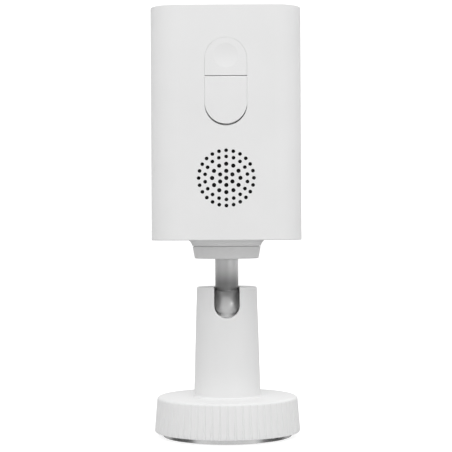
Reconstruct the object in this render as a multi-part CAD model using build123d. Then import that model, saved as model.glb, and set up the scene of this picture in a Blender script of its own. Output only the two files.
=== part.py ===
"""Baby monitor camera: an upright battery camera head on a ball-joint stand with a magnetic foot.

Millimetres, +Z up. The origin is the centre of the foot's underside and Z is the column's axis.
The lens looks along -Y; the speaker, the power button and the port flap are on the +Y side.
Each function below makes one sub-part, where it lies in the finished camera.
"""

from math import atan2, cos, degrees, radians, sin
import os

from build123d import *

# ---------------------------------------------------------------- driving dimensions
HEAD_WIDTH = 56.0
HEAD_DEPTH = 50.0
HEAD_HEIGHT = 86.7
HEAD_BOTTOM = 75.3
HEAD_CORNER = 10.0  # plan radius of the four upright edges
EDGE_ROUND = 0.35  # rounding of the head's top and bottom edges
WALL = 2.0  # rear shell
FRONT_WALL = 2.9  # front shell
SPLIT_Y = -15.0  # the rear shell starts here
SPLIT_GAP = 0.3  # fine groove between the two shells
LIP_LENGTH = 2.8  # tongue of the front shell inside the rear one
LIP_CLEARANCE = 0.1

BALL_HEIGHT = 50.45
BALL_RADIUS = 7.0
STEM_RADIUS = 4.45
STUD_RADIUS = 3.1
STUD_TOP = 81.0
SOCKET_CLEARANCE = 0.1
SLOT_CLEARANCE = 0.35
COLUMN_TOP = 57.3
COLUMN_TOP_RADIUS = 11.55
COLUMN_FOOT_RADIUS = 12.75
COLUMN_BORE_RADIUS = 7.1

DECK_TOP = 15.4
RIM_ROUND = 1.1
DECK_THICKNESS = 2.5
RING_BOTTOM = 2.1
RING_TOP_RADIUS = 26.85
RING_FOOT_RADIUS = 27.9
RING_INSIDE_RADIUS = 25.0
GROOVE_COUNT = 60
PLATE_RADIUS = 24.75
PLATE_BOTTOM = 0.3
PLATE_TOP = 3.0
PAD_THICKNESS = 0.8
PLATE_HOLE_RADIUS = 2.1
PLATE_HOLE_CIRCLE = 16.0  # radius of the circle of wall-screw holes

CAP_BOTTOM = 68.15
CAP_TOP = 72.72
COLLAR_BOTTOM = 73.0
COLLAR_RADIUS = 13.2
COLLAR_TOP_RADIUS = 15.0
WASHER_INSET = 0.5
CAP_RADIUS = 13.1
CAP_FOOT_RADIUS = 12.25

PILL_WIDTH = 15.5  # power button and port flap share one pill outline
PILL_GAP = 0.04
PILL_TOP = 149.85
FLAP_BOTTOM = 118.17
FLAP_LIP_GAP = 0.7  # fingernail gap under the flap
HINGE_HEIGHT = 135.08
HINGE_PIN_RADIUS = 0.3
HINGE_BORE_RADIUS = 0.35
FLAP_THICKNESS = 1.3
BUTTON_BOTTOM = 135.86
BUTTON_CENTRE = 143.2
KEY_EDGE = 0.06  # rounding of the button and flap outlines
RESET_HEIGHT = 130.6
USB_HEIGHT = 124.5

SPEAKER_HEIGHT = 98.2
# rings of sound holes: circle radius, number of holes, hole radius
SOUND_HOLES = ((0.0, 1, 0.79), (2.6, 6, 0.79), (5.2, 12, 0.79), (7.88, 18, 0.7), (10.15, 24, 0.7))

WINDOW_WIDTH = 34.0
WINDOW_HEIGHT = 70.0
WINDOW_GAP = 0.1
LENS_RING_WIDTH = 8.15
LED_CIRCLE = 12.3
LED_COUNT = 8
FILTER_TRAVEL = 6.8

# ---------------------------------------------------------------- places worked out from them
HEAD_TOP = HEAD_BOTTOM + HEAD_HEIGHT
HEAD_MIDDLE = HEAD_BOTTOM + HEAD_HEIGHT / 2
REAR = HEAD_DEPTH / 2
FRONT = -HEAD_DEPTH / 2
REAR_INSIDE = REAR - WALL
FRONT_INSIDE = FRONT + FRONT_WALL
FRONT_SHELL_REAR = SPLIT_Y - SPLIT_GAP
LENS_HEIGHT = HEAD_MIDDLE + (WINDOW_HEIGHT - WINDOW_WIDTH) / 2
HINGE_Y = REAR - FLAP_THICKNESS / 2
SLOT_RADIUS = STEM_RADIUS + SLOT_CLEARANCE
DECK_BOTTOM = DECK_TOP - DECK_THICKNESS
FAR = 100.0  # reaches past the whole object, for cutting

# layers inside the head, front to rear
WINDOW_REAR = FRONT + 1.85
GASKET_REAR = WINDOW_REAR + 0.2
LED_BOARD = (-19.4, -18.4)
HOLDER_FRONT = -14.0
MODULE = (-8.7, -4.2)  # infrared filter changer
SENSOR_BOARD = (-4.2, -3.0)
FRAME_PLATE = (-4.3, -2.8)
MAIN_BOARD = (-1.8, -0.2)
PORT_BOARD = (13.0, 14.2)
BAY_FLOOR = (21.2, 22.4)

# fastener places: X, Z
FRAME_SCREWS = [(x, z) for x in (-21.5, 21.5) for z in (HEAD_BOTTOM + 5.9, HEAD_TOP - 6.5)]
PORT_SCREWS = [(x, z) for x in (-12.5, 12.5) for z in (118.0, 151.0)]
SPEAKER_SCREWS = [(x, SPEAKER_HEIGHT) for x in (-17.2, 17.2)]


# ---------------------------------------------------------------- helpers
def block(x_span, y_span, z_span):
    """A box between three (low, high) pairs."""
    sizes = [high - low for low, high in (x_span, y_span, z_span)]
    middle = [(low + high) / 2 for low, high in (x_span, y_span, z_span)]
    return Pos(*middle) * Box(*sizes)


def upright(radius, z_span, x=0.0, y=0.0):
    """A cylinder along Z."""
    low, high = z_span
    return Pos(x, y, (low + high) / 2) * Cylinder(radius, high - low)


def deep(radius, y_span, x=0.0, z=0.0):
    """A cylinder along Y."""
    low, high = y_span
    return Pos(x, (low + high) / 2, z) * Rot(90, 0, 0) * Cylinder(radius, high - low)


def sideways(radius, half_length, y, z):
    """A cylinder along X, centred on X = 0."""
    return Pos(0, y, z) * Rot(0, 90, 0) * Cylinder(radius, 2 * half_length)


def prism(outline, y_span):
    """An outline drawn in X and Z, carried from one Y to another."""
    low, high = y_span
    rear = Plane(origin=(0, high, 0), x_dir=(1, 0, 0), z_dir=(0, -1, 0))
    return extrude(rear * outline, high - low)


def pill(width, low, high):
    """An upright pill outline in X and Z."""
    return Pos(0, (low + high) / 2) * SlotOverall(high - low, width, rotation=90)


def turned(points):
    """A solid of revolution about Z, from (radius, height) corners."""
    return revolve(Plane.XZ * make_face(Polyline(*points, close=True)), Axis.Z)


def turned_deep(points, z):
    """A solid of revolution about an axis along Y at height z, from (radius, y) corners."""
    return Pos(0, 0, z) * revolve(make_face(Polyline(*points, close=True)), Axis.Y)


def around(radius, count, start=0.0):
    """(x, y) places spread evenly on a circle, the first at start degrees from +X."""
    angles = [radians(start + 360 * i / count) for i in range(count)]
    return [(radius * cos(a), radius * sin(a)) for a in angles]


def casing(inset, z_span):
    """The head's plan outline, drawn in by inset, between two heights."""
    low, high = z_span
    outline = RectangleRounded(HEAD_WIDTH - 2 * inset, HEAD_DEPTH - 2 * inset, HEAD_CORNER - inset)
    return Pos(0, 0, low) * extrude(outline, high - low)


def casing_outside():
    body = casing(0, (HEAD_BOTTOM, HEAD_TOP))
    ends = body.faces().sort_by(Axis.Z)
    return fillet(ends[0].edges() + ends[-1].edges(), EDGE_ROUND)


def screws(places, head_radius, head_span, shank_radius, shank_span):
    """Pan-head screws along Y at (x, z) places, as separate solids."""
    made = []
    for x, z in places:
        head = deep(head_radius, head_span, x, z)
        made.append(head + deep(shank_radius, shank_span, x, z))
    return made


# ---------------------------------------------------------------- wall plate, the part that stays put
PAD_RADIUS = 23.0
PIVOT_RADIUS = 4.0
PIVOT_TOP = 4.6
PLATE_HOLES = around(PLATE_HOLE_CIRCLE, 3, 90)
COUNTERSINK_RADIUS = 4.1


def mounting_plate():
    """Steel disc with a centre pivot, three countersunk wall-screw holes and a pocket for the pad."""
    plate = upright(PLATE_RADIUS, (PLATE_BOTTOM, PLATE_TOP))
    plate = chamfer(plate.edges().filter_by(GeomType.CIRCLE), 0.15)
    plate += upright(PIVOT_RADIUS, (PLATE_TOP - 0.1, PIVOT_TOP))
    plate -= upright(PAD_RADIUS + 0.1, (0, PAD_THICKNESS))
    sink_depth = COUNTERSINK_RADIUS - PLATE_HOLE_RADIUS
    for x, y in PLATE_HOLES:
        plate -= upright(PLATE_HOLE_RADIUS, (0, PLATE_TOP + 1), x, y)
        sink = Cone(PLATE_HOLE_RADIUS, COUNTERSINK_RADIUS, sink_depth * 0.8)
        plate -= Pos(x, y, PLATE_TOP - sink_depth * 0.4) * sink
    return plate


def plate_pad():
    """Non-slip rubber disc under the plate, clear of the screw holes."""
    pad = upright(PAD_RADIUS, (0, PAD_THICKNESS))
    for x, y in PLATE_HOLES:
        pad -= upright(COUNTERSINK_RADIUS + 0.4, (-1, PAD_THICKNESS + 1), x, y)
    return pad


# ---------------------------------------------------------------- foot and column
COVER_SPAN = (PLATE_TOP + 0.3, PLATE_TOP + 2.1)
COVER_SCREWS = around(20.5, 3, 30)
COLUMN_SCREWS = around(9.8, 3, 90)
COLUMN_SCREW_TOP = 24.0
MAGNET_TOP = COVER_SPAN[1] + 4.5
PLUG_SPAN = (25.0, 30.0)
CUP_SPAN = (39.5, 45.6)


def base_ring():
    """Round foot with a flared, finely grooved grip."""
    outline = make_face(Polyline(
        (COLUMN_BORE_RADIUS, DECK_BOTTOM), (RING_INSIDE_RADIUS, DECK_BOTTOM),
        (RING_INSIDE_RADIUS, RING_BOTTOM), (RING_FOOT_RADIUS, RING_BOTTOM),
        (RING_TOP_RADIUS, DECK_TOP), (COLUMN_BORE_RADIUS, DECK_TOP), close=True,
    ))
    top_rim = outline.vertices().group_by(Axis.Y)[-1].sort_by(Axis.X)[-1]
    outline = fillet(top_rim, RIM_ROUND)
    foot_rim = outline.vertices().group_by(Axis.Y)[0].sort_by(Axis.X)[-1]
    outline = chamfer(foot_rim, 0.2)
    ring = revolve(Plane.XZ * outline, Axis.Z) - grip_grooves()
    for x, y in COVER_SCREWS:
        post = upright(2.4, (COVER_SPAN[1], DECK_BOTTOM + 0.5), x, y)
        ring += post - upright(1.05, (0, DECK_BOTTOM - 0.8), x, y)
    for x, y in COLUMN_SCREWS:
        ring -= upright(1.3, (0, DECK_TOP + 1), x, y)
    return ring


def grip_grooves():
    """Fine grooves in the foot's side, shallow at the top and deeper towards the bottom."""
    top_depth, foot_depth = 0.1, 0.5
    top_radius, foot_radius = 0.45, 0.7
    low, high = RING_BOTTOM - 1.0, DECK_TOP + 0.3
    slope = (RING_FOOT_RADIUS - RING_TOP_RADIUS) / (DECK_TOP - RING_BOTTOM)
    foot = RING_TOP_RADIUS + slope * (DECK_TOP - low) - foot_depth + foot_radius
    top = RING_TOP_RADIUS + slope * (DECK_TOP - high) - top_depth + top_radius
    line = Vector(top, 0, high) - Vector(foot, 0, low)
    plane = Plane(origin=(foot, 0, low), x_dir=(0, 1, 0), z_dir=line)
    taper = degrees(atan2(foot_radius - top_radius, line.length))
    cutter = extrude(plane * Circle(foot_radius), line.length, taper=taper)
    return [Rot(0, 0, 360 * i / GROOVE_COUNT) * cutter for i in range(GROOVE_COUNT)]


def base_cover():
    """Plastic disc that closes the foot from below, around the pivot."""
    cover = upright(RING_INSIDE_RADIUS - 0.3, COVER_SPAN)
    cover -= upright(PIVOT_RADIUS + 0.06, (0, 20))
    for x, y in COVER_SCREWS:
        cover -= upright(1.1, (0, 20), x, y)
        cover -= Pos(x, y, COVER_SPAN[0] + 0.6) * Cone(2.3, 1.1, 1.2)
    return cover


def cover_screws():
    low = COVER_SPAN[0]
    made = []
    for x, y in COVER_SCREWS:
        head = Pos(x, y, low + 0.6) * Cone(2.2, 1.0, 1.2)
        made.append(head + upright(1.0, (low + 0.6, DECK_BOTTOM - 1.6), x, y))
    return made


def base_magnet():
    span = (COVER_SPAN[1], MAGNET_TOP)
    return upright(17.0, span) - upright(12.0, (0, 20))


def column_screws():
    """Screws from below the deck up into the column's wall."""
    made = []
    for x, y in COLUMN_SCREWS:
        head = upright(2.1, (DECK_BOTTOM - 1.8, DECK_BOTTOM), x, y)
        made.append(head + upright(1.2, (DECK_BOTTOM, COLUMN_SCREW_TOP), x, y))
    return made


def column():
    """Tapered column with a ball socket, open at the top and slotted down its rear."""
    flare = 0.5
    profile = [
        (0, DECK_TOP),
        (COLUMN_FOOT_RADIUS + flare, DECK_TOP),
        (COLUMN_FOOT_RADIUS, DECK_TOP + 1.2 * flare),
        (COLUMN_TOP_RADIUS, COLUMN_TOP),
        (0, COLUMN_TOP),
    ]
    post = turned(profile)
    post = fillet(post.faces().sort_by(Axis.Z)[-1].edges(), 0.6)
    post -= upright(COLUMN_BORE_RADIUS, (0, BALL_HEIGHT))
    post -= Pos(0, 0, BALL_HEIGHT) * Sphere(BALL_RADIUS + SOCKET_CLEARANCE)
    post -= stem_slot()
    for x, y in COLUMN_SCREWS:
        post -= upright(1.25, (0, COLUMN_SCREW_TOP + 0.5), x, y)
    mouth = post.edges().filter_by(lambda e: e.center().Z > COLUMN_TOP - 0.01)
    inner = mouth.filter_by(lambda e: e.center().Y > -SLOT_RADIUS - 0.5)
    inner = inner.filter_by(lambda e: abs(e.center().X) < SLOT_RADIUS + 0.1)
    return fillet(inner, 0.4)


def stem_slot():
    """Round mouth for the upright stem, and the slot that it folds back into."""
    mouth = upright(SLOT_RADIUS, (BALL_HEIGHT, FAR))
    floor = deep(SLOT_RADIUS, (0, FAR / 4), 0, BALL_HEIGHT)
    sides = block((-SLOT_RADIUS, SLOT_RADIUS), (0, FAR / 4), (BALL_HEIGHT, FAR))
    return mouth + floor + sides


def friction_cup():
    """Cup under the ball, pressed up by the spring."""
    cup = upright(COLUMN_BORE_RADIUS - 0.1, CUP_SPAN)
    cup -= Pos(0, 0, BALL_HEIGHT) * Sphere(BALL_RADIUS + 0.05)
    return cup - upright(2.0, (0, BALL_HEIGHT))


def clamp_spring():
    wire, coil = 0.7, 5.2
    low, high = PLUG_SPAN[1] + wire, CUP_SPAN[0] - wire
    path = Pos(0, 0, low) * Helix(pitch=2.6, height=high - low, radius=coil)
    section = Plane(origin=path @ 0, z_dir=path % 0) * Circle(wire)
    return sweep(section, path=path)


def tension_plug():
    """Threaded plug that sets the spring's load, with a hexagon socket."""
    plug = upright(COLUMN_BORE_RADIUS - 0.05, PLUG_SPAN)
    socket = Pos(0, 0, PLUG_SPAN[0]) * extrude(RegularPolygon(3.0, 6), 3.0)
    return plug - socket


# ---------------------------------------------------------------- ball stem
def ball_stem():
    """Ball, stem and tripod stud in one turned piece."""
    shoulder = CAP_TOP - 2.0
    stem = Pos(0, 0, BALL_HEIGHT) * Sphere(BALL_RADIUS)
    stem += upright(STEM_RADIUS, (BALL_HEIGHT, shoulder))
    stud = upright(STUD_RADIUS, (shoulder - 1, STUD_TOP))
    stud = chamfer(stud.faces().sort_by(Axis.Z)[-1].edges(), 0.6)
    return stem + stud


def mount_cap():
    """Tapered cap fixed on the stem, which the head's collar turns on."""
    cap = turned([(0, CAP_BOTTOM), (CAP_FOOT_RADIUS, CAP_BOTTOM), (CAP_RADIUS, CAP_TOP), (0, CAP_TOP)])
    cap = fillet(cap.faces().sort_by(Axis.Z)[0].edges(), 0.5)
    cap -= upright(STEM_RADIUS + 0.03, (0, CAP_TOP - 2.0))
    return cap - upright(STUD_RADIUS + 0.05, (0, FAR))


def cap_washer():
    """Thin nylon washer in the seam between cap and collar."""
    span = (CAP_TOP, COLLAR_BOTTOM - 0.05)
    return upright(CAP_RADIUS - WASHER_INSET, span) - upright(STUD_RADIUS + 0.2, (0, FAR))


# ---------------------------------------------------------------- rear shell
NUT_SPAN = (74.3, 82.0)
NUT_RADIUS = 5.0


def rear_shell():
    """Rear casing: walls, rear face with sound holes and pill opening, collar and inner bosses."""
    shell = casing_outside() - casing(WALL, (HEAD_BOTTOM + WALL, HEAD_TOP - WALL))
    shell &= block((-FAR, FAR), (SPLIT_Y, FAR), (0, 2 * FAR))
    shell += collar() + upright(8.0, (HEAD_BOTTOM, NUT_SPAN[1]))
    shell -= upright(NUT_RADIUS + 0.03, (NUT_SPAN[0], NUT_SPAN[1] + 1))
    shell -= upright(STUD_RADIUS + 0.5, (0, NUT_SPAN[0] + 1))
    for x, z in PORT_SCREWS:
        boss = deep(2.1, (PORT_BOARD[1], REAR_INSIDE + 0.5), x, z)
        shell += boss - deep(0.85, (0, REAR_INSIDE - 1), x, z)
    for x, z in SPEAKER_SCREWS:
        boss = deep(2.2, (19.0, REAR_INSIDE + 0.5), x, z)
        shell += boss - deep(0.95, (0, REAR_INSIDE), x, z)
    shell -= prism(pill_opening(), (REAR_INSIDE - 1, REAR + 1))
    shell -= sideways(HINGE_BORE_RADIUS, PILL_WIDTH / 2 + 1.4, HINGE_Y, HINGE_HEIGHT)
    return shell - sound_holes()


def collar():
    """Concave flare that carries the head's underside down to the cap."""
    outline = Line((0, COLLAR_BOTTOM), (COLLAR_RADIUS, COLLAR_BOTTOM))
    top = HEAD_BOTTOM + 0.02
    outline += ThreePointArc((COLLAR_RADIUS, COLLAR_BOTTOM), (13.84, 74.4), (COLLAR_TOP_RADIUS, top))
    inside = top + 1
    rim = COLLAR_TOP_RADIUS
    outline += Polyline((rim, top), (rim, inside), (0, inside), (0, COLLAR_BOTTOM))
    return revolve(Plane.XZ * make_face(outline), Axis.Z)


def pill_opening():
    return pill(PILL_WIDTH + 2 * PILL_GAP, FLAP_BOTTOM - FLAP_LIP_GAP, PILL_TOP + PILL_GAP)


def sound_holes():
    holes = []
    for circle, count, radius in SOUND_HOLES:
        for x, z in around(circle, count, 90):
            holes.append(deep(radius, (REAR_INSIDE - 1, REAR + 1), x, SPEAKER_HEIGHT + z))
    return holes


def tripod_nut():
    nut = upright(NUT_RADIUS, NUT_SPAN) + upright(6.6, (NUT_SPAN[1], NUT_SPAN[1] + 1.0))
    return nut - upright(STUD_RADIUS + 0.05, (0, FAR))


def flap_pin():
    return sideways(HINGE_PIN_RADIUS, PILL_WIDTH / 2 + 1.2, HINGE_Y, HINGE_HEIGHT)


# ---------------------------------------------------------------- front shell and window
def front_shell():
    """Front casing with a recess for the window, a tongue at the rear and four long screw bosses."""
    inside = casing(FRONT_WALL, (HEAD_BOTTOM + FRONT_WALL, HEAD_TOP - FRONT_WALL))
    front = casing_outside() & block((-FAR, FAR), (-FAR, FRONT_SHELL_REAR), (0, 2 * FAR))
    inset = WALL + LIP_CLEARANCE
    lip = casing(inset, (HEAD_BOTTOM + inset, HEAD_TOP - inset))
    lip &= block((-FAR, FAR), (FRONT_SHELL_REAR - 1, FRONT_SHELL_REAR + LIP_LENGTH), (0, 2 * FAR))
    front = front + lip - inside
    low, high = HEAD_MIDDLE - WINDOW_HEIGHT / 2, HEAD_MIDDLE + WINDOW_HEIGHT / 2
    front -= prism(pill(WINDOW_WIDTH, low, high), (FRONT - 1, GASKET_REAR))
    front -= prism(pill(WINDOW_WIDTH - 5, low + 2.5, high - 2.5), (FRONT - 1, FRONT_INSIDE + 1))
    for x, z in FRAME_SCREWS:
        boss = deep(2.3, (FRONT_INSIDE - 0.5, FRAME_PLATE[0]), x, z)
        front += boss - deep(0.95, (-12.5, 0), x, z)
    for x in (-15.3, 15.3):
        front += deep(1.2, (FRONT_INSIDE - 0.5, LED_BOARD[0]), x, LENS_HEIGHT)
    return front


def window_outline(inset):
    low, high = HEAD_MIDDLE - WINDOW_HEIGHT / 2, HEAD_MIDDLE + WINDOW_HEIGHT / 2
    return pill(WINDOW_WIDTH - 2 * inset, low + inset, high - inset)


def front_window():
    """Dark window over lens, infrared lamps, status light and microphone."""
    window = prism(window_outline(WINDOW_GAP), (FRONT + 0.05, WINDOW_REAR))
    window = fillet(window.faces().sort_by(Axis.Y)[0].edges(), 0.25)
    window -= deep(LENS_RING_WIDTH + 0.1, (-FAR, 0), 0, LENS_HEIGHT)
    window -= deep(1.1, (-FAR, 0), 0, STATUS_HEIGHT)
    return window - deep(0.6, (-FAR, 0), 0, MIC_HEIGHT)


def window_gasket():
    outer, inner = window_outline(WINDOW_GAP), window_outline(2.3)
    return prism(outer - inner, (WINDOW_REAR, GASKET_REAR))


# ---------------------------------------------------------------- lens, sensor and lamps
STATUS_HEIGHT = LENS_HEIGHT - LED_CIRCLE
DAYLIGHT_HEIGHT = LENS_HEIGHT + LED_CIRCLE
MIC_HEIGHT = 90.0
BARREL_FRONT = -24.3
GLASS_SEAT = -22.2
BARREL_REAR = -9.0


def lens_ring():
    """Trim ring around the lens, with a conical inner face."""
    outer, proud, rear = LENS_RING_WIDTH, FRONT - 0.4, FRONT_INSIDE + 0.1
    points = [
        (outer, proud + 0.3),
        (outer - 0.3, proud),
        (7.5, proud),
        (6.3, -23.6),
        (6.3, rear),
        (outer, rear),
    ]
    return turned_deep(points, LENS_HEIGHT)


def lens_barrel():
    points = [
        (5.25, BARREL_FRONT),
        (6.2, BARREL_FRONT),
        (6.2, -16.0),
        (5.9, -16.0),
        (5.9, BARREL_REAR),
        (4.0, BARREL_REAR),
        (4.0, -12.0),
        (4.6, -12.0),
        (4.6, GLASS_SEAT),
        (5.25, GLASS_SEAT),
    ]
    return turned_deep(points, LENS_HEIGHT)


def lens_front_glass():
    """Outer element with a domed front."""
    dome_radius, apex = 9.0, -24.75
    glass = deep(5.2, (-FAR / 3, GLASS_SEAT), 0, LENS_HEIGHT)
    return glass & Pos(0, apex + dome_radius, LENS_HEIGHT) * Sphere(dome_radius)


def lens_inner_glass():
    """Two inner elements, one hollow-ground and one domed."""
    hollow = deep(4.55, (-20.6, -18.4), 0, LENS_HEIGHT) - Pos(0, -27.0, LENS_HEIGHT) * Sphere(7.0)
    domed = deep(4.55, (-15.6, -12.0), 0, LENS_HEIGHT) & Pos(0, -7.5, LENS_HEIGHT) * Sphere(8.0)
    return [hollow, domed]


def light_baffle():
    """Rubber tube that keeps lamp light out of the lens."""
    span = (FRONT_INSIDE + 0.1, LED_BOARD[1])
    return deep(8.0, span, 0, LENS_HEIGHT) - deep(6.4, (-FAR, 0), 0, LENS_HEIGHT)


def lens_holder():
    size = 7.5
    body = block((-size, size), (HOLDER_FRONT, MODULE[0]), (LENS_HEIGHT - size, LENS_HEIGHT + size))
    return body - deep(5.95, (-FAR, 0), 0, LENS_HEIGHT)


FILTER_SLOT = (-7.6, -6.4)
BLADE_HALF_HEIGHT = 4.0
BLADE_LEFT, BLADE_RIGHT = -10.4, 3.6
FILTER_RADIUS = 2.9


def filter_housing():
    """Changer housing: a sideways slot for the blade, a pocket for the sensor, its coil on top."""
    middle = LENS_HEIGHT
    body = block((-11.8, 11.8), MODULE, (middle - 5.5, middle + 5.5))
    body += block((-4, 4), (MODULE[0], MODULE[1] - 0.3), (middle + 5, middle + 9.5))
    body -= block((-10.8, 10.8), FILTER_SLOT, (middle - 4.2, middle + 4.2))
    body -= deep(3.6, (-FAR, MODULE[1] + 1), 0, middle)
    return body - block((-5, 5), (MODULE[1] - 1.1, MODULE[1] + 1), (middle - 4.5, middle + 4.5))


def filter_blade():
    """Sliding blade: the infrared-cut filter is over the sensor at rest, the clear one after the shift."""
    half = BLADE_HALF_HEIGHT
    blade = block((BLADE_LEFT, BLADE_RIGHT), (-7.4, -6.6), (LENS_HEIGHT - half, LENS_HEIGHT + half))
    for x in (0, -FILTER_TRAVEL):
        blade -= deep(FILTER_RADIUS, (-FAR, 0), x, LENS_HEIGHT)
    return blade


def filter_glass():
    return [deep(FILTER_RADIUS, (-7.3, -6.7), x, LENS_HEIGHT) for x in (0, -FILTER_TRAVEL)]


def sensor_board():
    return block((-11.8, 11.8), SENSOR_BOARD, (LENS_HEIGHT - 10, LENS_HEIGHT + 10))


def image_sensor():
    span = (SENSOR_BOARD[0] - 0.8, SENSOR_BOARD[0])
    return block((-3.2, 3.2), span, (LENS_HEIGHT - 2.6, LENS_HEIGHT + 2.6))


def led_board():
    board = deep(16.0, LED_BOARD, 0, LENS_HEIGHT)
    return board - deep(8.6, (-FAR, 0), 0, LENS_HEIGHT)


def infrared_leds():
    half, front = 1.5, LED_BOARD[0] - 1.5
    made = []
    for x, z in around(LED_CIRCLE, LED_COUNT, 22.5):
        z += LENS_HEIGHT
        lamp = block((x - half, x + half), (front, LED_BOARD[0]), (z - half, z + half))
        made.append(lamp - Pos(x, front - 2.2, z) * Sphere(2.5))
    return made


def front_sensors():
    """Status light and ambient light sensor on the lamp board."""
    span = (LED_BOARD[0] - 0.7, LED_BOARD[0])
    heights = (STATUS_HEIGHT, DAYLIGHT_HEIGHT)
    return [block((-0.8, 0.8), span, (z - 0.6, z + 0.6)) for z in heights]


def light_guide():
    return deep(1.0, (FRONT + 0.05, LED_BOARD[0] - 0.9), 0, STATUS_HEIGHT)


def microphone():
    """Microphone in its rubber boot, sealed to a hole in the window."""
    z = MIC_HEIGHT
    capsule = block((-1.9, 1.9), (-21.95, -20.85), (z - 1.5, z + 1.5))
    boot = deep(2.2, (WINDOW_REAR, -21.95), 0, z) - deep(0.6, (-FAR, 0), 0, z)
    return [capsule, boot]


# ---------------------------------------------------------------- inner frame, battery, main board
# a socket on the main board: X span, height, Z span
SPEAKER_SOCKET = ((13, 18), 3.5, (90.5, 94.5))
BATTERY_SOCKET = ((9, 14), 3.5, (85.6, 89.6))
BOARD_NOTCH = (12.5, 85.3)  # half width and top of the notch over the neck
BATTERY = ((-20.5, 20.5), (-20.5, -4.5), (85.5, 119.5))


def board_notch():
    half_width, top = BOARD_NOTCH
    return block((-half_width, half_width), (-FAR, FAR), (0, top))


def inner_frame():
    """Plastic frame behind the battery that also carries the sensor and the main board."""
    plate = block((-24.2, 24.2), FRAME_PLATE, (79.0, 158.2))
    plate = fillet(plate.edges().filter_by(Axis.Y), 3.0)
    plate -= block((-12.8, 12.8), (-FAR, FAR), (LENS_HEIGHT - 11.2, LENS_HEIGHT + 11.2))
    (x0, x1), _, (z0, z1) = BATTERY
    rim = block((x0 - 1.8, x1 + 1.8), (-12.0, FRAME_PLATE[0] + 0.2), (z0 - 1.4, z1 + 1.4))
    plate += rim - block((x0 - 0.3, x1 + 0.3), (-FAR, FRAME_PLATE[0]), (z0 - 0.2, z1 + 0.2))
    plate -= board_notch()
    for x, z in FRAME_SCREWS:
        plate += deep(2.4, (FRAME_PLATE[1] - 0.2, MAIN_BOARD[0]), x, z)
        plate -= deep(1.1, (-FAR, FAR), x, z)
    return plate


def battery_pack():
    pack = block(*BATTERY)
    return fillet(pack.edges().filter_by(Axis.Z), 2.5)


def main_board():
    board = block((-24.0, 24.0), MAIN_BOARD, (79.2, 158.0))
    board = fillet(board.edges().filter_by(Axis.Y), 3.0)
    board -= board_notch()
    for x, z in FRAME_SCREWS:
        board -= deep(1.1, (-FAR, FAR), x, z)
    return board


def shield_can():
    """Pressed tin can over the processor."""
    rear = MAIN_BOARD[1]
    can = block((-17, 3), (rear, rear + 2.2), (120, 143))
    can = fillet(can.faces().sort_by(Axis.Y)[-1].edges(), 0.4)
    return can - block((-16.7, 2.7), (rear - 1, rear + 1.9), (120.3, 142.7))


def board_parts():
    """Chips, power coils and wire sockets on the main board."""
    rear = MAIN_BOARD[1]
    chips = [
        ((-13, -3), 1.2, (126, 136)),
        ((7, 17), 1.0, (128, 141)),
        ((8, 16), 1.0, (112, 120)),
        ((-16, -10), 0.9, (104, 110)),
    ]
    coils = [((x, x + 5), 2.8, (94, 99)) for x in (-20, -13, -6)]
    sockets = [SPEAKER_SOCKET, BATTERY_SOCKET, ((-5, 5), 2.5, (146, 149))]
    parts = chips + coils + sockets
    return [block(x_span, (rear, rear + height), z_span) for x_span, height, z_span in parts]


def frame_screws():
    rear = MAIN_BOARD[1]
    return screws(FRAME_SCREWS, 2.0, (rear, rear + 1.4), 0.9, (-12.0, rear))


# ---------------------------------------------------------------- speaker
MESH_SPAN = (REAR_INSIDE - 0.2, REAR_INSIDE)
BASKET_REAR = MESH_SPAN[0] - 0.6


def speaker_mesh():
    return deep(12.6, MESH_SPAN, 0, SPEAKER_HEIGHT)


def speaker_gasket():
    gasket = deep(14.0, (BASKET_REAR, MESH_SPAN[0]), 0, SPEAKER_HEIGHT)
    return gasket - deep(12.2, (0, FAR), 0, SPEAKER_HEIGHT)


def speaker_basket():
    """Cone-shaped frame with two screw ears."""
    rear = BASKET_REAR
    outer = [(0, 16.5), (9.2, 16.5), (11.8, 20.6), (14.0, 21.0), (14.0, rear), (0, rear)]
    inner = [(0, 17.3), (8.5, 17.3), (11.0, 21.0), (12.7, 21.4), (12.7, rear + 1), (0, rear + 1)]
    basket = turned_deep(outer, SPEAKER_HEIGHT)
    z0, z1 = SPEAKER_HEIGHT - 2.6, SPEAKER_HEIGHT + 2.6
    basket += block((-19.6, 19.6), (17.5, 19.0), (z0, z1))
    basket -= turned_deep(inner, SPEAKER_HEIGHT)
    basket -= deep(5.4, (0, FAR), 0, SPEAKER_HEIGHT)
    for x, z in SPEAKER_SCREWS:
        basket -= deep(1.1, (0, FAR), x, z)
    return basket


def speaker_cone():
    """Thin diaphragm with a domed middle and a rolled edge, glued to its voice coil."""
    front = [(0, 20.2), (2.6, 19.8), (4.4, 18.6), (10.6, 21.55), (11.6, 21.95), (12.6, 21.6)]
    back = [(radius, y - 0.15) for radius, y in reversed(front)]
    coil = deep(4.75, (14.6, 18.4), 0, SPEAKER_HEIGHT) - deep(4.35, (0, FAR), 0, SPEAKER_HEIGHT)
    return [turned_deep(front + back, SPEAKER_HEIGHT), coil]


def speaker_magnet():
    """Steel pot with a round gap for the voice coil."""
    pot = deep(8.2, (12.4, 16.5), 0, SPEAKER_HEIGHT)
    gap = deep(5.1, (14.2, FAR), 0, SPEAKER_HEIGHT) - deep(4.0, (0, FAR), 0, SPEAKER_HEIGHT)
    return pot - gap


def rear_screws():
    """Screws that hold the speaker and the port board to the rear shell."""
    speaker = screws(SPEAKER_SCREWS, 1.9, (16.2, 17.5), 0.9, (17.5, 22.0))
    return speaker + screws(PORT_SCREWS, 1.8, (11.8, PORT_BOARD[0]), 0.8, (PORT_BOARD[0], 20.0))


# ---------------------------------------------------------------- rear controls and port
def port_board():
    board = block((-15, 15), PORT_BOARD, (115.2, 153.8))
    for x, z in PORT_SCREWS:
        board -= deep(1.0, (0, FAR), x, z)
    return board


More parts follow.
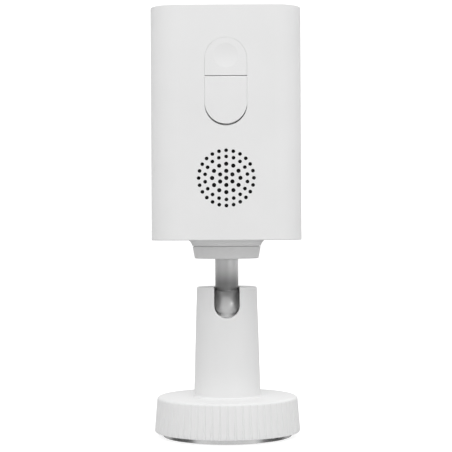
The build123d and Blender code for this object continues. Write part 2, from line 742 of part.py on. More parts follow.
def port_bay():
    """Tray behind the pill opening: floor of the recess, with a skirt that stands on the port board."""
    tray = block((-10, 10), (PORT_BOARD[1], REAR_INSIDE), (115.6, 152.4))
    tray -= block((-8.8, 8.8), (0, BAY_FLOOR[0]), (116.8, 151.2))
    recess = pill(PILL_WIDTH + 1.0, FLAP_BOTTOM - 1.1, PILL_TOP + 0.6)
    tray -= prism(recess, (BAY_FLOOR[1], REAR))
    tray -= deep(2.6, (0, FAR), 0, BUTTON_CENTRE)
    tray -= deep(1.2, (0, FAR), 0, RESET_HEIGHT)
    mouth = Pos(0, USB_HEIGHT) * RectangleRounded(9.8, 4.2, 1.8)
    return tray - prism(mouth, (BAY_FLOOR[0] - 1, REAR))


def usb_outline(grow):
    return Pos(0, USB_HEIGHT) * RectangleRounded(8.94 + 2 * grow, 3.26 + 2 * grow, 1.25 + grow)


def usb_socket():
    """Charging socket on the port board: a metal shell and its contact tongue."""
    bottom = PORT_BOARD[1] + 0.8
    shell = prism(usb_outline(0), (PORT_BOARD[1], 21.9)) - prism(usb_outline(-0.3), (bottom, FAR))
    tongue = block((-3.3, 3.3), (bottom, 21.3), (USB_HEIGHT - 0.35, USB_HEIGHT + 0.35))
    return [shell, tongue]


def key_switches():
    """Push switches under the power button and the reset key."""
    z = BUTTON_CENTRE
    power = block((-3, 3), (PORT_BOARD[1], 17.7), (z - 3, z + 3)) - deep(1.7, (16.4, FAR), 0, z)
    z = RESET_HEIGHT
    return [power, block((-2, 2), (PORT_BOARD[1], 16.1), (z - 1.5, z + 1.5))]


def power_button():
    """Upper part of the pill: a key with a shallow finger dimple and a stem down to the switch."""
    outline = pill(PILL_WIDTH, FLAP_BOTTOM, PILL_TOP)
    cap = prism(outline, (23.1, REAR)) & block((-FAR, FAR), (-FAR, FAR), (BUTTON_BOTTOM, 2 * FAR))
    cap = fillet(cap.faces().sort_by(Axis.Y)[-1].edges(), KEY_EDGE)
    dimple_radius, dimple_depth = 34.0, 0.3
    cap -= Pos(0, REAR + dimple_radius - dimple_depth, BUTTON_CENTRE) * Sphere(dimple_radius)
    cap += deep(2.2, (18.5, 23.2), 0, BUTTON_CENTRE)
    return cap + deep(3.4, (20.0, 20.8), 0, BUTTON_CENTRE)


def switch_plunger():
    return deep(1.6, (16.95, 18.5), 0, BUTTON_CENTRE)


def reset_key():
    return deep(1.05, (16.5, 22.7), 0, RESET_HEIGHT) + deep(1.7, (20.0, 20.8), 0, RESET_HEIGHT)


def port_flap():
    """Lower part of the pill: a cover over the socket, hinged along its rounded upper edge."""
    span = (REAR - FLAP_THICKNESS, REAR)
    low, high = FLAP_BOTTOM, FLAP_BOTTOM + 2 * (HINGE_HEIGHT - FLAP_BOTTOM)
    flap = prism(pill(PILL_WIDTH, low, high), span)
    flap = fillet(flap.faces().sort_by(Axis.Y)[-1].edges(), KEY_EDGE)
    flap &= block((-FAR, FAR), (-FAR, FAR), (0, HINGE_HEIGHT))
    flap += sideways(FLAP_THICKNESS / 2, PILL_WIDTH / 2, HINGE_Y, HINGE_HEIGHT)
    return flap - sideways(HINGE_BORE_RADIUS, FAR, HINGE_Y, HINGE_HEIGHT)


def flap_plug():
    """Rubber block inside the flap that closes the socket's mouth."""
    outline = Pos(0, USB_HEIGHT) * RectangleRounded(8.0, 2.4, 1.1)
    return prism(outline, (22.15, REAR - FLAP_THICKNESS))


# ---------------------------------------------------------------- wireless and wiring
def wifi_antenna():
    """Thin antenna strip stuck under the top wall."""
    top = HEAD_TOP - WALL
    return block((-16, 16), (4, 12), (top - 0.3, top))


def wire(radius, route, bend):
    """One insulated wire along a route of points, its corners rounded."""
    path = FilletPolyline(*route, radius=bend)
    section = Plane(origin=path @ 0, z_dir=path % 0) * Circle(radius)
    return sweep(section, path=path)


def inner_wires():
    """Antenna cable, two speaker wires and two battery wires."""
    top = HEAD_TOP - WALL - 0.3
    board = MAIN_BOARD[1] + 1.6
    thin, thick = 0.5, 0.55
    antenna_cable = [(15.5, 8, top), (15.5, 8, 147), (15.5, 2.6, 143), (15.5, 2.6, 141)]
    made = [wire(thick, antenna_cable, 1.8)]
    for side, start in ((14.6, SPEAKER_HEIGHT - 4), (16.4, SPEAKER_HEIGHT - 1)):
        route = [(9.4, 13.4, start), (side, 13.4, start), (side, board, 97.5), (side, board, 94.5)]
        made.append(wire(thin, route, 1.2))
    for x in (10.4, 11.8):
        route = [(x, -8, 85.5), (x, -8, 82.8), (x, board, 82.8), (x, board, 85.6)]
        made.append(wire(thick, route, 1.2))
    return made


# ---------------------------------------------------------------- output
SUBPARTS = [
    mounting_plate, plate_pad,
    base_ring, base_cover, cover_screws, base_magnet, column_screws,
    column, friction_cup, clamp_spring, tension_plug,
    ball_stem, mount_cap, cap_washer,
    rear_shell, tripod_nut, flap_pin,
    front_shell, front_window, window_gasket,
    lens_ring, lens_barrel, lens_front_glass, lens_inner_glass, light_baffle, lens_holder,
    filter_housing, filter_blade, filter_glass, sensor_board, image_sensor,
    led_board, infrared_leds, front_sensors, light_guide, microphone,
    inner_frame, battery_pack, main_board, shield_can, board_parts, frame_screws,
    speaker_mesh, speaker_gasket, speaker_basket, speaker_cone, speaker_magnet, rear_screws,
    port_board, port_bay, usb_socket, key_switches,
    power_button, switch_plunger, reset_key, port_flap, flap_plug,
    wifi_antenna, inner_wires,
]


def main():
    os.makedirs("parts", exist_ok=True)
    for subpart in SUBPARTS:
        made = subpart()
        if isinstance(made, list):
            made = Compound(children=made)
        export_step(made, f"parts/{subpart.__name__}.step")


if __name__ == "__main__":
    main()
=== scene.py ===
"""Looks of the baby monitor camera: procedural finishes for every part, a white studio and the camera."""
import math

import bpy
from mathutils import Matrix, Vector


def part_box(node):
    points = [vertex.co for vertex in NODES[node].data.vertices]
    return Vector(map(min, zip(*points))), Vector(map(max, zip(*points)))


MM = 0.001  # a millimetre and a micron, in metres
MICRON = 0.000001

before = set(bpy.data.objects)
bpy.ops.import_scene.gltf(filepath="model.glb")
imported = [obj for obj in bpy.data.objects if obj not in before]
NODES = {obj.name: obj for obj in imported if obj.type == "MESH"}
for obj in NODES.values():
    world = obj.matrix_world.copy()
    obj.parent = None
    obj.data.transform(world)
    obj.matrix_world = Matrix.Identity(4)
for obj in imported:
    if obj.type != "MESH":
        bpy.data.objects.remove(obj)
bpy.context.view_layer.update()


# ---------------------------------------------------------------- node helpers
class Nodes:
    """A node tree under construction, with short ways to add to it."""

    def __init__(self, tree):
        self.tree = tree

    def node(self, kind, **settings):
        made = self.tree.nodes.new(kind)
        for key, value in settings.items():
            setattr(made, key, value)
        return made

    def link(self, source, target):
        self.tree.links.new(source, target)

    def fill(self, socket, value):
        """Sets a socket to a number or colour, or links it to another node's output."""
        if isinstance(value, (int, float, tuple)):
            socket.default_value = value
        else:
            self.link(value, socket)

    def maths(self, operation, first, second=0.0):
        made = self.node("ShaderNodeMath", operation=operation)
        self.fill(made.inputs[0], first)
        self.fill(made.inputs[1], second)
        return made.outputs[0]

    def product(self, first, *others):
        for other in others:
            first = self.maths("MULTIPLY", first, other)
        return first

    def mix(self, kind, factor, first, second):
        """From first to second as the factor goes from 0 to 1; kind is FLOAT or RGBA."""
        made = self.node("ShaderNodeMix", data_type=kind)
        self.link(factor, made.inputs["Factor"])
        self.fill(made.inputs["A"], first)
        self.fill(made.inputs["B"], second)
        return made.outputs["Result"]

    def spread(self, value, low, high, from_low=0.0, from_high=1.0, shape="LINEAR"):
        """A value carried from one range into another, and held there beyond its ends."""
        made = self.node("ShaderNodeMapRange", interpolation_type=shape)
        made.inputs["From Min"].default_value = from_low
        made.inputs["From Max"].default_value = from_high
        made.inputs["To Min"].default_value = low
        made.inputs["To Max"].default_value = high
        self.link(value, made.inputs["Value"])
        return made.outputs["Result"]

    def colours(self, value, *stops):
        """A colour ramp from (place, (r, g, b)) stops."""
        made = self.node("ShaderNodeValToRGB")
        ramp = made.color_ramp
        while len(ramp.elements) < len(stops):
            ramp.elements.new(0.5)
        for element, (where, colour) in zip(ramp.elements, stops):
            element.position = where
            element.color = (*colour, 1.0)
        self.link(value, made.inputs["Fac"])
        return made.outputs["Color"]


class Finish(Nodes):
    """A material under construction: a Principled shader, textures on the part and what they drive."""

    def __init__(self, name, **uniform):
        """Uniform settings go straight onto the shader; an underscore stands for a space."""
        self.material = bpy.data.materials.new(name)
        self.material.use_nodes = True
        super().__init__(self.material.node_tree)
        self.shader = self.tree.nodes["Principled BSDF"]
        self.place = self.node("ShaderNodeTexCoord").outputs["Object"]
        for socket, value in uniform.items():
            self.shader.inputs[socket.replace("_", " ")].default_value = value

    def scaled(self, factors):
        """The place on the part, stretched by (x, y, z) factors."""
        mapping = self.node("ShaderNodeMapping")
        mapping.inputs["Scale"].default_value = factors
        self.link(self.place, mapping.inputs["Vector"])
        return mapping.outputs["Vector"]

    def axes(self):
        """The X, Y and Z of the place on the part."""
        split = self.node("ShaderNodeSeparateXYZ")
        self.link(self.place, split.inputs[0])
        return split.outputs

    def noise(self, size, detail=3.0, roughness=0.5, place=None):
        """Noise with features of about that size, in millimetres."""
        made = self.node("ShaderNodeTexNoise")
        made.inputs["Scale"].default_value = 1.0 / (size * MM)
        made.inputs["Detail"].default_value = detail
        made.inputs["Roughness"].default_value = roughness
        self.link(place or self.place, made.inputs["Vector"])
        return made.outputs["Fac"]

    def cells(self, size, output="Distance"):
        """Scattered cells about that far apart, in millimetres."""
        made = self.node("ShaderNodeTexVoronoi")
        made.inputs["Scale"].default_value = 1.0 / (size * MM)
        self.link(self.place, made.inputs["Vector"])
        return made.outputs[output]

    def waves(self, spacing, direction, kind="BANDS", distortion=0.0):
        """Bands or rings that far apart, in millimetres."""
        made = self.node("ShaderNodeTexWave", wave_type=kind)
        setattr(made, "bands_direction" if kind == "BANDS" else "rings_direction", direction)
        made.inputs["Scale"].default_value = math.pi / (10 * spacing * MM)
        made.inputs["Distortion"].default_value = distortion
        self.link(self.place, made.inputs["Vector"])
        return made.outputs["Fac"]

    def own_shade(self):
        """A random number for each separate solid of the node."""
        return self.node("ShaderNodeNewGeometry").outputs["Random Per Island"]

    def set_colour(self, colour):
        self.link(colour, self.shader.inputs["Base Color"])

    def mottle(self, value, dark, light):
        """Base colour that wanders between two colours with a noise value."""
        self.set_colour(self.colours(value, (0.3, dark), (0.7, light)))

    def set_roughness(self, value, low, high, fine=None, by=0.0):
        """Roughness that wanders between low and high, and by that much more with a finer noise."""
        rough = self.spread(value, low, high)
        if fine is not None:
            rough = self.maths("ADD", rough, self.spread(fine, -by, by))
        self.link(rough, self.shader.inputs["Roughness"])

    def bump(self, *layers):
        """Surface relief from (height, depth in microns) layers, coarse to fine."""
        normal = None
        for height, depth in layers:
            made = self.node("ShaderNodeBump")
            made.inputs["Distance"].default_value = depth * MICRON
            made.inputs["Strength"].default_value = 1.0
            self.link(height, made.inputs["Height"])
            if normal is not None:
                self.link(normal, made.inputs["Normal"])
            normal = made.outputs["Normal"]
        self.link(normal, self.shader.inputs["Normal"])


def grey(value):
    return (value, value, value)


# ---------------------------------------------------------------- white plastic
SHELL_TONE = 0.805
# the stand's white is the shell's, darker by painted shade under the head
STAND_SHADED_TONE = 0.775
CLOUD_TONE = 0.01  # how far the moulding's flow clouds stray from either


def moulded_white(name, tone):
    """Spark-textured white plastic: a fine grain, faint flow clouds and slightly worn gloss."""
    finish = Finish(name, Specular_IOR_Level=0.4)
    clouds = finish.noise(20, detail=2.0)
    grain = finish.noise(0.35, detail=2.0, roughness=0.6)
    rubbed = finish.noise(9, detail=4.0)
    finish.mottle(clouds, grey(tone - CLOUD_TONE), grey(tone + CLOUD_TONE))
    finish.set_roughness(rubbed, 0.40, 0.50, fine=grain, by=0.03)
    finish.bump((grain, 6))
    return finish.material


def white_shell():
    return moulded_white("white_shell", SHELL_TONE)


def shaded_white_stand():
    """The stand's mouldings, a shade darker than the shell: painted shade for the shade that falls under the
    head.
    """
    return moulded_white("shaded_white_stand", STAND_SHADED_TONE)


# ---------------------------------------------------------------- metals
STEM_LINES = (0.02, 0.02, 1.0)  # stretches noise into lines round an upright axis
TURNED_LINES = (0.03, 0.03, 1.0)

# The shades of the ball and stem were fitted to the brightness in the photograph. They are painted shade,
# painted reflections and a painted highlight on the ball and stem. Whether wear or only reflections cause
# it isn't known. Most levels below are earlier ones times the ratio of the photograph's brightness to the
# render's, which a script printed by height, so they aren't measured reflectances.
# Base colour by height above the ball's centre, in mm, as all lengths down to BRIGHT_SPAN are:
STEM_PAINTED_SHADE = (
    # the ball, from its bottom to the neck: painted reflections, light at the bottom and darker towards the
    # neck
    (-7.0, 0.98), (-3.6, 0.98), (-2.8, 0.88), (-1.4, 0.71),
    (0.0, 0.61), (1.6, 0.52), (3.0, 0.47), (5.2, 0.48),
    # the stem, with painted shade just above the ball
    (5.5, 0.20), (8.2, 0.20), (9.3, 0.24), (10.7, 0.32),
    (12.2, 0.40), (13.0, 0.45), (15.0, 0.53), (18.0, 0.64),
)
SHADES_SPAN = (-8.0, 20.0)  # the heights that the colour ramp covers
SHADES_WAVER = 0.015  # how far the edges of the shades wander, as a share of that span
NECK_HEIGHT = 5.4  # where ball and stem meet, above the ball's centre
NECK_BLEND = 0.2  # half the height over which one look passes into the other
SIDE_SPAN = (2.0, 3.2)  # how far from the middle of the ball the painted shade on its sides begins and is darkest
SIDE_SHADE = 0.64  # share of the colour that the painted side shade leaves where it is darkest
SIDE_DROP = (1.0, -2.6)  # between these heights above the ball's centre the painted side shade recedes
SIDE_RECEDE = 0.9  # and by this much
BRIGHT_SPAN = (-1.0, -4.4)  # where the painted highlight on the stem begins, and where it is brightest
# gain of the painted highlight on the stem's brightest side
BRIGHT_GAIN = 1.4
STEM_METALLIC = 0.6  # the stem's metallic share; the ball's is 1


def satin_steel():
    """Satin nickel on a turned ball and stem: fine rings round the axis, and painted shade, painted
    reflections and a painted highlight. Satin nickel on a turned ball and stem: fine rings round
    the axis, and the fitted shades.
    """
    finish = Finish("satin_steel", Coat_Weight=0.2, Coat_Roughness=0.1)
    rings = finish.noise(0.12, place=finish.scaled(STEM_LINES))
    clouds = finish.noise(4)
    low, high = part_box("ball_stem")
    ball_centre = low.z + (high.x - low.x) / 2
    on_stem = stem_share(finish, ball_centre)
    painted_side_light = finish.mix("FLOAT", on_stem, painted_side_shade(finish, ball_centre), painted_side_highlight(finish))
    shaded = finish.node("ShaderNodeVectorMath", operation="SCALE")
    finish.link(painted_stem_shade(finish, ball_centre, clouds), shaded.inputs[0])
    finish.link(painted_side_light, shaded.inputs["Scale"])
    finish.set_colour(shaded.outputs[0])
    finish.link(finish.spread(on_stem, 1.0, STEM_METALLIC), finish.shader.inputs["Metallic"])
    finish.set_roughness(clouds, 0.36, 0.44, fine=rings, by=0.04)
    finish.bump((rings, 1.5))
    return finish.material


def stem_share(finish, ball_centre):
    """0 on the ball, 1 on the stem."""
    neck = ball_centre + NECK_HEIGHT * MM
    return finish.spread(finish.axes()["Z"], 0.0, 1.0, neck - NECK_BLEND * MM, neck + NECK_BLEND * MM)


def painted_stem_shade(finish, ball_centre, clouds):
    """Colour of the ball and stem by height, painted with shade and reflections, with slightly wavy edges.
    """
    first, last = SHADES_SPAN
    stops = [((above - first) / (last - first), grey(value)) for above, value in STEM_PAINTED_SHADE]
    lowest, highest = ball_centre + first * MM, ball_centre + last * MM
    level = finish.spread(finish.axes()["Z"], 0.0, 1.0, lowest, highest)
    wavy = finish.maths("ADD", level, finish.spread(clouds, -SHADES_WAVER, SHADES_WAVER))
    return finish.colours(wavy, *stops)


def painted_side_shade(finish, ball_centre):
    """Painted shade on the ball's left and right sides, which recedes below its middle."""
    place = finish.axes()
    off_centre = finish.maths("ABSOLUTE", place["X"])
    drop = [ball_centre + above * MM for above in SIDE_DROP]
    recede = finish.spread(place["Z"], 0.0, SIDE_RECEDE * MM, *drop)
    begins, darkest = SIDE_SPAN
    beside = finish.maths("SUBTRACT", off_centre, recede)
    return finish.spread(beside, 1.0, SIDE_SHADE, begins * MM, darkest * MM)


def painted_side_highlight(finish):
    """Painted highlight that brightens the stem towards one side."""
    begins, brightest = BRIGHT_SPAN
    return finish.spread(finish.axes()["X"], 1.0, BRIGHT_GAIN, begins * MM, brightest * MM)


def plate_steel():
    """Polished stainless disc, turned: rings on its faces, lines round its rim."""
    finish = Finish("plate_steel", Metallic=1.0, Anisotropic=0.7)
    around = finish.node("ShaderNodeTangent", direction_type="RADIAL", axis="Z")
    finish.link(around.outputs["Tangent"], finish.shader.inputs["Tangent"])
    rings = finish.waves(0.2, "Z", "RINGS", distortion=0.6)
    lines = finish.noise(0.1, place=finish.scaled(TURNED_LINES))
    clouds = finish.noise(6)
    finish.mottle(clouds, grey(0.68), grey(0.74))
    finish.set_roughness(clouds, 0.2, 0.28, fine=lines, by=0.04)
    finish.bump((rings, 0.8), (lines, 0.8))
    return finish.material


def screw_steel():
    """Zinc-plated steel of the screws, the spring, the pin and the speaker's pot."""
    finish = Finish("screw_steel", Metallic=1.0)
    clouds = finish.noise(1.5, detail=4.0)
    grain = finish.noise(0.2, detail=2.0)
    finish.mottle(clouds, (0.42, 0.43, 0.46), (0.55, 0.55, 0.56))
    finish.set_roughness(clouds, 0.25, 0.42)
    finish.bump((grain, 3))
    return finish.material


def tin_sheet():
    """Tinned sheet with a faint spangle."""
    finish = Finish("tin_sheet", Metallic=1.0)
    spangle = finish.cells(3, output="Color")
    clouds = finish.noise(2, detail=4.0)
    finish.mottle(clouds, (0.52, 0.52, 0.5), (0.64, 0.64, 0.62))
    finish.set_roughness(spangle, 0.25, 0.38)
    finish.bump((clouds, 6))
    return finish.material


def brass_metal():
    """Turned brass, a little stained."""
    finish = Finish("brass_metal", Metallic=1.0)
    rings = finish.noise(0.15, place=finish.scaled(TURNED_LINES))
    stain = finish.noise(3, detail=4.0)
    finish.mottle(stain, (0.66, 0.46, 0.18), (0.78, 0.58, 0.27))
    finish.set_roughness(stain, 0.22, 0.38)
    finish.bump((rings, 2))
    return finish.material


def magnet_nickel():
    """Bright nickel plating on the ring magnet."""
    finish = Finish("magnet_nickel", Metallic=1.0)
    clouds = finish.noise(4, detail=4.0)
    finish.mottle(clouds, grey(0.5), grey(0.6))
    finish.set_roughness(clouds, 0.12, 0.25)
    finish.bump((clouds, 4))
    return finish.material


def antenna_copper():
    """Copper loops under an amber film."""
    finish = Finish("antenna_copper", Metallic=0.8)
    bars = finish.waves(2.4, "X")
    finish.set_colour(finish.colours(bars, (0.42, (0.75, 0.42, 0.22)), (0.5, (0.28, 0.13, 0.03))))
    finish.set_roughness(finish.noise(2), 0.25, 0.4)
    finish.bump((bars, 10))
    return finish.material


# ---------------------------------------------------------------- black parts
def black_window():
    """Tinted acrylic, polished, with faint wipe marks."""
    finish = Finish("black_window", Coat_Weight=0.5, Coat_Roughness=0.03, IOR=1.49)
    wipes = finish.noise(4, detail=5.0, place=finish.scaled((1.0, 1.0, 0.25)))
    smoke = finish.noise(20, detail=2.0)
    finish.mottle(smoke, (0.008, 0.008, 0.010), (0.013, 0.012, 0.015))
    finish.set_roughness(wipes, 0.03, 0.10)
    finish.bump((smoke, 10))
    return finish.material


def black_plastic():
    """Plain black moulding of the inner parts."""
    finish = Finish("black_plastic", Specular_IOR_Level=0.4)
    grain = finish.noise(0.3, detail=2.0)
    clouds = finish.noise(6)
    finish.mottle(clouds, grey(0.022), grey(0.034))
    finish.set_roughness(clouds, 0.42, 0.58)
    finish.bump((grain, 10))
    return finish.material


def lens_trim():
    """Satin black ring with fine turned steps that kill stray light."""
    finish = Finish("lens_trim", Specular_IOR_Level=0.5)
    steps = finish.waves(0.4, "Y")
    clouds = finish.noise(3)
    finish.mottle(clouds, grey(0.014), grey(0.024))
    finish.set_roughness(clouds, 0.3, 0.45)
    finish.bump((steps, 40))
    return finish.material


def soft_rubber():
    """Matt rubber that holds some dust."""
    finish = Finish("soft_rubber", Specular_IOR_Level=0.3)
    grain = finish.noise(0.25)
    dust = finish.noise(3, detail=5.0)
    finish.set_colour(finish.colours(dust, (0.35, grey(0.018)), (0.75, grey(0.045))))
    finish.set_roughness(dust, 0.7, 0.9)
    finish.bump((grain, 20))
    return finish.material


def acoustic_mesh():
    """Fine black cloth: crossed threads with open gaps between them."""
    finish = Finish("acoustic_mesh", Sheen_Weight=0.2)
    threads = finish.maths("MAXIMUM", finish.waves(0.3, "X"), finish.waves(0.3, "Z"))
    finish.set_colour(finish.colours(threads, (0.3, grey(0.002)), (0.8, grey(0.016))))
    finish.set_roughness(threads, 0.95, 0.75)
    finish.bump((threads, 60))
    return finish.material


def cone_paper():
    """Coated paper cone with short fibres."""
    finish = Finish("cone_paper", Specular_IOR_Level=0.3)
    fibres = finish.noise(0.6, detail=6.0, roughness=0.7)
    finish.mottle(fibres, grey(0.012), grey(0.05))
    finish.set_roughness(fibres, 0.6, 0.85)
    finish.bump((fibres, 40))
    return finish.material


# ---------------------------------------------------------------- glass
def coated_glass(name, mirroring):
    """Lens glass with an anti-reflection film that dims its reflections and tints them blue."""
    finish = Finish(name, Transmission_Weight=1.0, IOR=1.52, Specular_IOR_Level=mirroring)
    finish.shader.inputs["Specular Tint"].default_value = (0.55, 0.6, 1.0, 1.0)
    smudge = finish.noise(2, detail=4.0)
    finish.mottle(smudge, (0.30, 0.32, 0.40), (0.38, 0.40, 0.46))
    finish.set_roughness(smudge, 0.0, 0.03)
    finish.bump((smudge, 0.5))
    return finish.material


def front_glass():
    return coated_glass("front_glass", 0.25)


def inner_glass():
    """The elements behind the front one, which mirror less."""
    return coated_glass("inner_glass", 0.05)


# ---------------------------------------------------------------- electronics
TRACKS = {"Scale": 260.0, "Mortar Size": 0.05, "Brick Width": 1.4, "Row Height": 0.3}
TRACK_COLOURS = {
    "Color1": (0.012, 0.10, 0.035, 1), "Color2": (0.016, 0.13, 0.045, 1), "Mortar": (0.03, 0.20, 0.06, 1),
}
PAD_COLOUR = (0.6, 0.58, 0.5, 1)
PAD_EDGE = (0.14, 0.17)  # a pad's edge, as a share of the way between two pads


def circuit_board():
    """Green solder mask over fine copper tracks, with tinned pads."""
    finish = Finish("circuit_board", Specular_IOR_Level=0.5)
    tracks = finish.node("ShaderNodeTexBrick")
    for socket, value in (*TRACKS.items(), *TRACK_COLOURS.items()):
        tracks.inputs[socket].default_value = value
    place = finish.axes()
    face = finish.node("ShaderNodeCombineXYZ")
    finish.link(place["Z"], face.inputs["X"])
    finish.link(place["X"], face.inputs["Y"])
    finish.link(face.outputs[0], tracks.inputs["Vector"])
    is_pad = finish.spread(finish.cells(2.8), 1.0, 0.0, *PAD_EDGE)
    finish.set_colour(finish.mix("RGBA", is_pad, tracks.outputs["Color"], PAD_COLOUR))
    finish.link(is_pad, finish.shader.inputs["Metallic"])
    finish.set_roughness(finish.noise(3), 0.25, 0.4)
    finish.bump((tracks.outputs["Fac"], 20))
    return finish.material


def chip_resin():
    """Dark chip packages, each a little different."""
    finish = Finish("chip_resin", Specular_IOR_Level=0.4)
    grain = finish.noise(0.2)
    finish.set_colour(finish.colours(finish.own_shade(), (0.0, grey(0.012)), (1.0, grey(0.035))))
    finish.set_roughness(grain, 0.45, 0.65)
    finish.bump((grain, 10))
    return finish.material


def lamp_resin():
    """Clear lamp packages with a warm phosphor tint."""
    finish = Finish("lamp_resin", Coat_Weight=0.4, Coat_Roughness=0.05)
    core = finish.noise(1.2, detail=2.0)
    finish.mottle(core, (0.62, 0.58, 0.42), (0.85, 0.83, 0.74))
    finish.set_roughness(core, 0.12, 0.25)
    finish.bump((core, 10))
    return finish.material


def battery_wrap():
    """Blue shrink film over the cells, wrinkled across."""
    finish = Finish("battery_wrap", Coat_Weight=0.3)
    wrinkles = finish.noise(2, detail=4.0, place=finish.scaled((0.4, 1.0, 1.6)))
    finish.mottle(wrinkles, (0.012, 0.05, 0.19), (0.02, 0.075, 0.27))
    finish.set_roughness(wrinkles, 0.2, 0.35)
    finish.bump((wrinkles, 80))
    return finish.material


def wire_sleeve():
    """Wire insulation: red, black and grey leads."""
    finish = Finish("wire_sleeve", Specular_IOR_Level=0.4)
    scuffs = finish.noise(0.8)
    sleeves = ((0.0, (0.4, 0.02, 0.02)), (0.5, grey(0.02)), (1.0, grey(0.25)))
    finish.set_colour(finish.colours(finish.own_shade(), *sleeves))
    finish.set_roughness(scuffs, 0.35, 0.55)
    finish.bump((scuffs, 10))
    return finish.material


# ---------------------------------------------------------------- which part has which finish
FINISHES = {
    white_shell: ["rear_shell", "front_shell", "base_ring", "power_button", "port_flap", "port_bay",
                  "cap_washer", "friction_cup"],
    shaded_white_stand: ["column", "mount_cap"],
    satin_steel: ["ball_stem"],
    plate_steel: ["mounting_plate"],
    screw_steel: ["cover_screws", "column_screws", "clamp_spring", "flap_pin", "frame_screws", "rear_screws",
                  "speaker_magnet"],
    tin_sheet: ["shield_can", "usb_socket"],
    brass_metal: ["tension_plug", "tripod_nut"],
    magnet_nickel: ["base_magnet"],
    antenna_copper: ["wifi_antenna"],
    black_window: ["front_window"],
    black_plastic: ["base_cover", "lens_barrel", "lens_holder", "filter_housing", "filter_blade",
                    "inner_frame", "speaker_basket", "switch_plunger", "reset_key"],
    lens_trim: ["lens_ring"],
    soft_rubber: ["plate_pad", "window_gasket", "light_baffle", "microphone", "speaker_gasket",
                  "flap_plug"],
    front_glass: ["lens_front_glass"],
    inner_glass: ["lens_inner_glass", "filter_glass"],
    circuit_board: ["sensor_board", "led_board", "main_board", "port_board"],
    chip_resin: ["image_sensor", "board_parts", "key_switches"],
    lamp_resin: ["infrared_leds", "front_sensors", "light_guide"],
    acoustic_mesh: ["speaker_mesh"],
    battery_wrap: ["battery_pack"],
    cone_paper: ["speaker_cone"],
    wire_sleeve: ["inner_wires"],
}


def dress_cad_nodes():
    """Gives every carried-over node its finish."""
    dressed = set()
    for make, names in FINISHES.items():
        material = make()
        for name in names:
            for slot in NODES[name].material_slots:
                slot.material = material
            dressed.add(name)
    missing = set(NODES) - dressed
    if missing:
        raise ValueError(f"no finish for {sorted(missing)}")


# ---------------------------------------------------------------- camera
CAMERA_PLACE = (0.0002, 0.557, 0.08055)
CAMERA_ROLL = 0.3  # degrees
LENS_MM = 115.5
SENSOR_MM = 36.0
CLIP_SPAN = (0.05, 50.0)


def make_camera():
    """Level view of the rear from the stand-off distance that gives the right perspective."""
    data = bpy.data.cameras.new("camera")
    data.sensor_width = SENSOR_MM
    data.lens = LENS_MM
    data.clip_start, data.clip_end = CLIP_SPAN
    camera = bpy.data.objects.new("camera", data)
    camera.location = CAMERA_PLACE
    camera.rotation_euler = (math.radians(90), math.radians(CAMERA_ROLL), math.radians(180))
    bpy.context.scene.collection.objects.link(camera)
    bpy.context.scene.camera = camera


# ---------------------------------------------------------------- studio
# brightness of the white studio by direction; spans and heights are parts of a unit direction, whose
# Z points up and whose Y points to the object's rear
SKY = 0.86  # overhead
SKY_LOW = 0.765  # and at the horizon
SKY_RISE = (0.0, 0.8)  # the heights between them
SKY_SIDES = 1.36  # gain to the left and right
SIDES_SPAN = (0.5, 0.95)
ZENITH = 0.25  # share that is left straight overhead
ZENITH_SPAN = (0.78, 0.95)
TABLE = 0.25  # share that is left below the horizon in front, where a dark table stands
TABLE_FRONT = (-0.8, -0.3)
TABLE_HEIGHT = (-0.25, -0.03)
PANEL = 0.03  # share that is left in the two side panels
PANEL_EDGE = (0.8, 0.9)  # where a panel begins
PANEL_HEIGHT = -0.15  # its middle
PANEL_RIM = (0.07, 0.13)  # and its upper and lower edges, from the middle
BACKDROP = 1.2  # what the camera sees behind the object

# name, place, aim, diameter, power, whether shiny parts mirror it
LIGHTS = (
    ("spark", (-0.58, 1.04, 0.17), (0, 0, 0.05), 0.06, 0.5, True),
    ("fill", (0.0, -1.1, 0.35), (0, 0, 0.08), 0.9, 2.2, False),
    ("glint", (-0.35, -0.9, 0.5), (0, 0, 0.13), 0.07, 0.4, True),
    ("softbox", (0.0, 0.66, 1.06), (0, 0, 0.08), 0.9, 6.3, False),
)

FLOOR_HALF = 30.0  # reaches the horizon
FLOOR_GREYS = (0.50, 0.53)
FLOOR_LIFT = 0.75  # keeps the floor pale to the camera without lighting the object from below


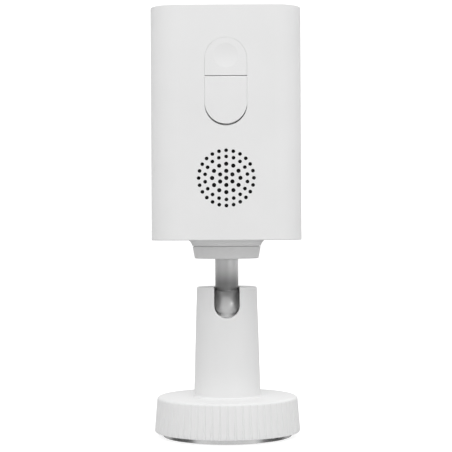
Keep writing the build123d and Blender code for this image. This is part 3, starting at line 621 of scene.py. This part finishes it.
def make_world():
    """White studio, dim at the zenith, with a dark table in front and a dark panel low on each side.

    The dim zenith keeps upward faces from glaring. The dark window mirrors the table, and the
    steel disc's flanks mirror the panels.
    """
    world = bpy.data.worlds.new("studio")
    world.use_nodes = True
    bpy.context.scene.world = world
    sky = Nodes(world.node_tree)

    def ease(value, span, low, high):
        return sky.spread(value, low, high, *span, shape="SMOOTHSTEP")

    way = sky.node("ShaderNodeSeparateXYZ")
    sky.link(sky.node("ShaderNodeTexCoord").outputs["Generated"], way.inputs[0])
    painted_side_light, rearward, up = way.outputs
    side = sky.maths("ABSOLUTE", painted_side_light)
    off_middle = sky.maths("ABSOLUTE", sky.maths("SUBTRACT", up, PANEL_HEIGHT))

    overhead = ease(up, SKY_RISE, SKY_LOW, SKY)
    beside = ease(side, SIDES_SPAN, 1.0, SKY_SIDES)
    zenith = ease(up, ZENITH_SPAN, 1.0, ZENITH)
    table = sky.product(ease(rearward, TABLE_FRONT, 1.0, 0.0), ease(up, TABLE_HEIGHT, 1.0, 0.0))
    off_table = sky.maths("SUBTRACT", 1.0, sky.product(table, 1.0 - TABLE))
    panel = sky.product(ease(side, PANEL_EDGE, 0.0, 1.0), ease(off_middle, PANEL_RIM, 1.0, 0.0))
    off_panel = sky.maths("SUBTRACT", 1.0, sky.product(panel, 1.0 - PANEL))
    lit = sky.product(overhead, beside, zenith, off_table, off_panel)

    seen = sky.node("ShaderNodeLightPath").outputs["Is Camera Ray"]
    strength = sky.maths("MAXIMUM", lit, sky.product(seen, BACKDROP))
    background = sky.tree.nodes["Background"]
    sky.link(strength, background.inputs["Strength"])
    background.inputs["Color"].default_value = (1, 1, 1, 1)


def make_light(name, place, aim, diameter, power, mirrored):
    """A disc of light that faces its aim."""
    data = bpy.data.lights.new(name, "AREA")
    data.shape = "DISK"
    data.size = diameter
    data.energy = power
    light = bpy.data.objects.new(name, data)
    light.location = place
    light.visible_glossy = mirrored
    ray = Vector(aim) - Vector(place)
    light.rotation_euler = ray.to_track_quat("-Z", "Y").to_euler()
    bpy.context.scene.collection.objects.link(light)


def make_floor():
    """Plain pale floor, large enough to reach the horizon."""
    half = FLOOR_HALF
    mesh = bpy.data.meshes.new("floor")
    corners = [(-half, -half, 0), (half, -half, 0), (half, half, 0), (-half, half, 0)]
    mesh.from_pydata(corners, [], [(0, 1, 2, 3)])
    floor = bpy.data.objects.new("floor", mesh)
    bpy.context.scene.collection.objects.link(floor)
    floor.visible_glossy = False
    finish = Finish("floor", Specular_IOR_Level=0.1)
    clouds = finish.noise(300, detail=2.0)
    dark, light = FLOOR_GREYS
    finish.mottle(clouds, grey(dark), grey(light))
    finish.set_roughness(clouds, 0.7, 0.8)
    seen = finish.node("ShaderNodeLightPath").outputs["Is Camera Ray"]
    finish.shader.inputs["Emission Color"].default_value = (1, 1, 1, 1)
    finish.link(finish.spread(seen, 0.0, FLOOR_LIFT), finish.shader.inputs["Emission Strength"])
    floor.data.materials.append(finish.material)


dress_cad_nodes()
make_camera()
make_world()
for lamp in LIGHTS:
    make_light(*lamp)
make_floor()

view = bpy.context.scene.view_settings
view.view_transform = "Standard"
view.look = "None"
